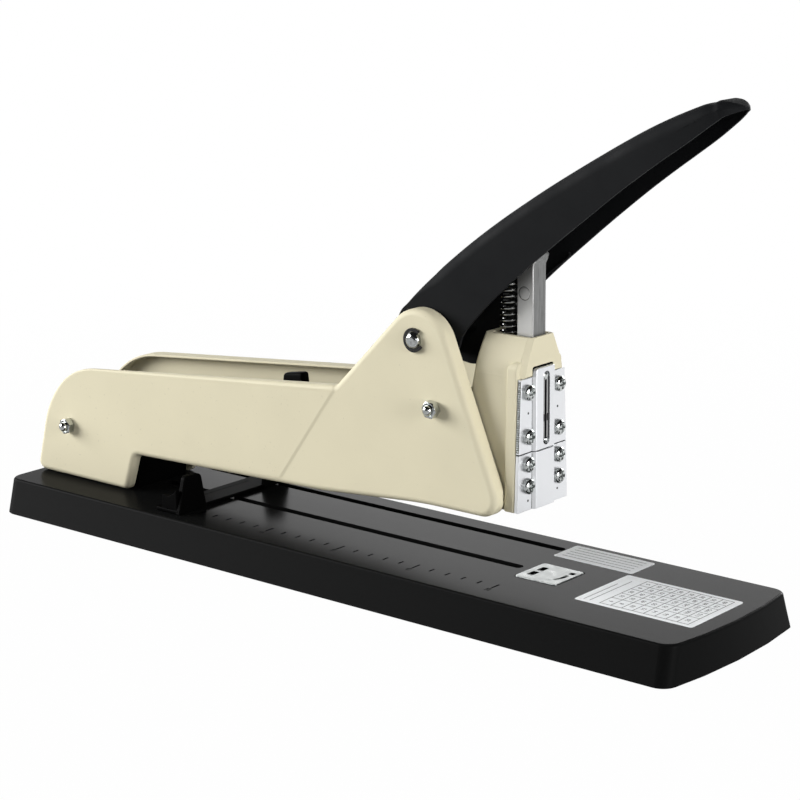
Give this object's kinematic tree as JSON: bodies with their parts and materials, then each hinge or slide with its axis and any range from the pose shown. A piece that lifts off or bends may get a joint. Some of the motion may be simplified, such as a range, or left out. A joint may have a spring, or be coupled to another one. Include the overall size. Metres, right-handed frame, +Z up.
{
  "type": "heavy duty stapler",
  "caption": "Long-reach desk stapler: flat ruled base with anvil and sliding paper guide, pressed side covers, swinging magazine arm with ram head and a long lever handle.",
  "frame": {"origin": "centre of the base's footprint, on the surface the rubber feet stand on", "axes": "+X from the rear pivot towards the stapling head and the handle's tip, +Y to the far side of the picture, +Z up"},
  "size_m": [0.4576, 0.1106, 0.2599],
  "materials": {
    "base_plastic": "satin black moulding",
    "guide_plastic": "satin black moulding",
    "foot_rubber": "matt",
    "cover_paint": "smooth cream enamel",
    "head_paint": "smooth cream enamel",
    "handle_paint": "semi-gloss black enamel",
    "bracket_paint": "satin black enamel",
    "bright_zinc": "bright zinc plate",
    "bar_steel": "drawn bar, fine grain",
    "dark_steel": "oiled black"
  },
  "bodies": {
    "frame": {"base_tray": "base_plastic", "floor_plate": "dark_steel", "floor_screw_1": "bright_zinc", "floor_screw_2": "bright_zinc", "floor_screw_3": "bright_zinc", "floor_screw_4": "bright_zinc", "rubber_foot_1": "foot_rubber", "rubber_foot_2": "foot_rubber", "rubber_foot_3": "foot_rubber", "rubber_foot_4": "foot_rubber", "anvil_plate": "bright_zinc", "rear_bracket": "bracket_paint", "bracket_screw_1": "bright_zinc", "bracket_screw_2": "bright_zinc", "bracket_screw_3": "bright_zinc", "bracket_screw_4": "bright_zinc", "cover_near": "cover_paint", "cover_far": "cover_paint", "rear_bolt": "bright_zinc", "rear_nut": "bright_zinc", "rear_spacer_near": "bright_zinc", "rear_spacer_far": "bright_zinc", "front_bolt": "bright_zinc", "front_nut": "bright_zinc", "front_spacer": "bright_zinc", "handle_pin": "bright_zinc", "pin_clip_near": "dark_steel", "pin_clip_far": "dark_steel"},
    "arm": {"magazine_channel": "bright_zinc", "pivot_sleeve": "bar_steel", "staple_rail": "bar_steel", "staple_strip": "bright_zinc", "head_housing": "head_paint", "lower_plate": "bright_zinc", "upper_plate": "bright_zinc", "plate_screw_1": "bright_zinc", "plate_screw_2": "bright_zinc", "plate_screw_3": "bright_zinc", "plate_screw_4": "bright_zinc", "plate_screw_5": "bright_zinc", "plate_screw_6": "bright_zinc", "plate_screw_7": "bright_zinc", "plate_screw_8": "bright_zinc", "spring_rod": "bar_steel", "ram_spring": "dark_steel"},
    "ram": {"ram": "bar_steel", "ram_pin": "bar_steel", "driver_blade": "bar_steel", "spring_cap": "bar_steel"},
    "pusher": {"pusher_block": "bar_steel", "pusher_knob": "guide_plastic"},
    "handle": {"handle_shell": "handle_paint", "press_block": "bar_steel"},
    "guide": {"guide_body": "guide_plastic", "guide_runner_centre": "bar_steel", "guide_runner_far": "bar_steel"}
  },
  "joints": [
    {"name": "handle_press", "type": "hinge", "parent": "frame", "child": "handle", "pos_m": [0.05651, 0, 0.13451], "axis": [0, 1, 0], "range_deg": [0, 40], "stiffness_Nm_per_rad": 3, "springref_deg": -22.92},
    {"name": "head_swing", "type": "hinge", "parent": "frame", "child": "arm", "pos_m": [-0.19802, 0, 0.0507], "axis": [0, 1, 0], "range_deg": [0, 6]},
    {"name": "ram_drive", "type": "slide", "parent": "arm", "child": "ram", "axis": [0, 0, -1], "range_m": [0, 0.012], "deforming": ["ram_spring"]},
    {"name": "pusher_slide", "type": "slide", "parent": "arm", "child": "pusher", "axis": [0.9993, 0, 0.0374], "range_m": [-0.1, 0], "stiffness_N_per_m": 15, "springref_m": 0.12},
    {"name": "guide_slide", "type": "slide", "parent": "frame", "child": "guide", "axis": [1, 0, 0], "range_m": [-0.022, 0.17]}
  ],
  "couplings": [
    {"joint": "head_swing", "follows": "handle_press", "ratio": 0.15},
    {"joint": "ram_drive", "follows": "handle_press", "m_per_rad": 0.017}
  ]
}
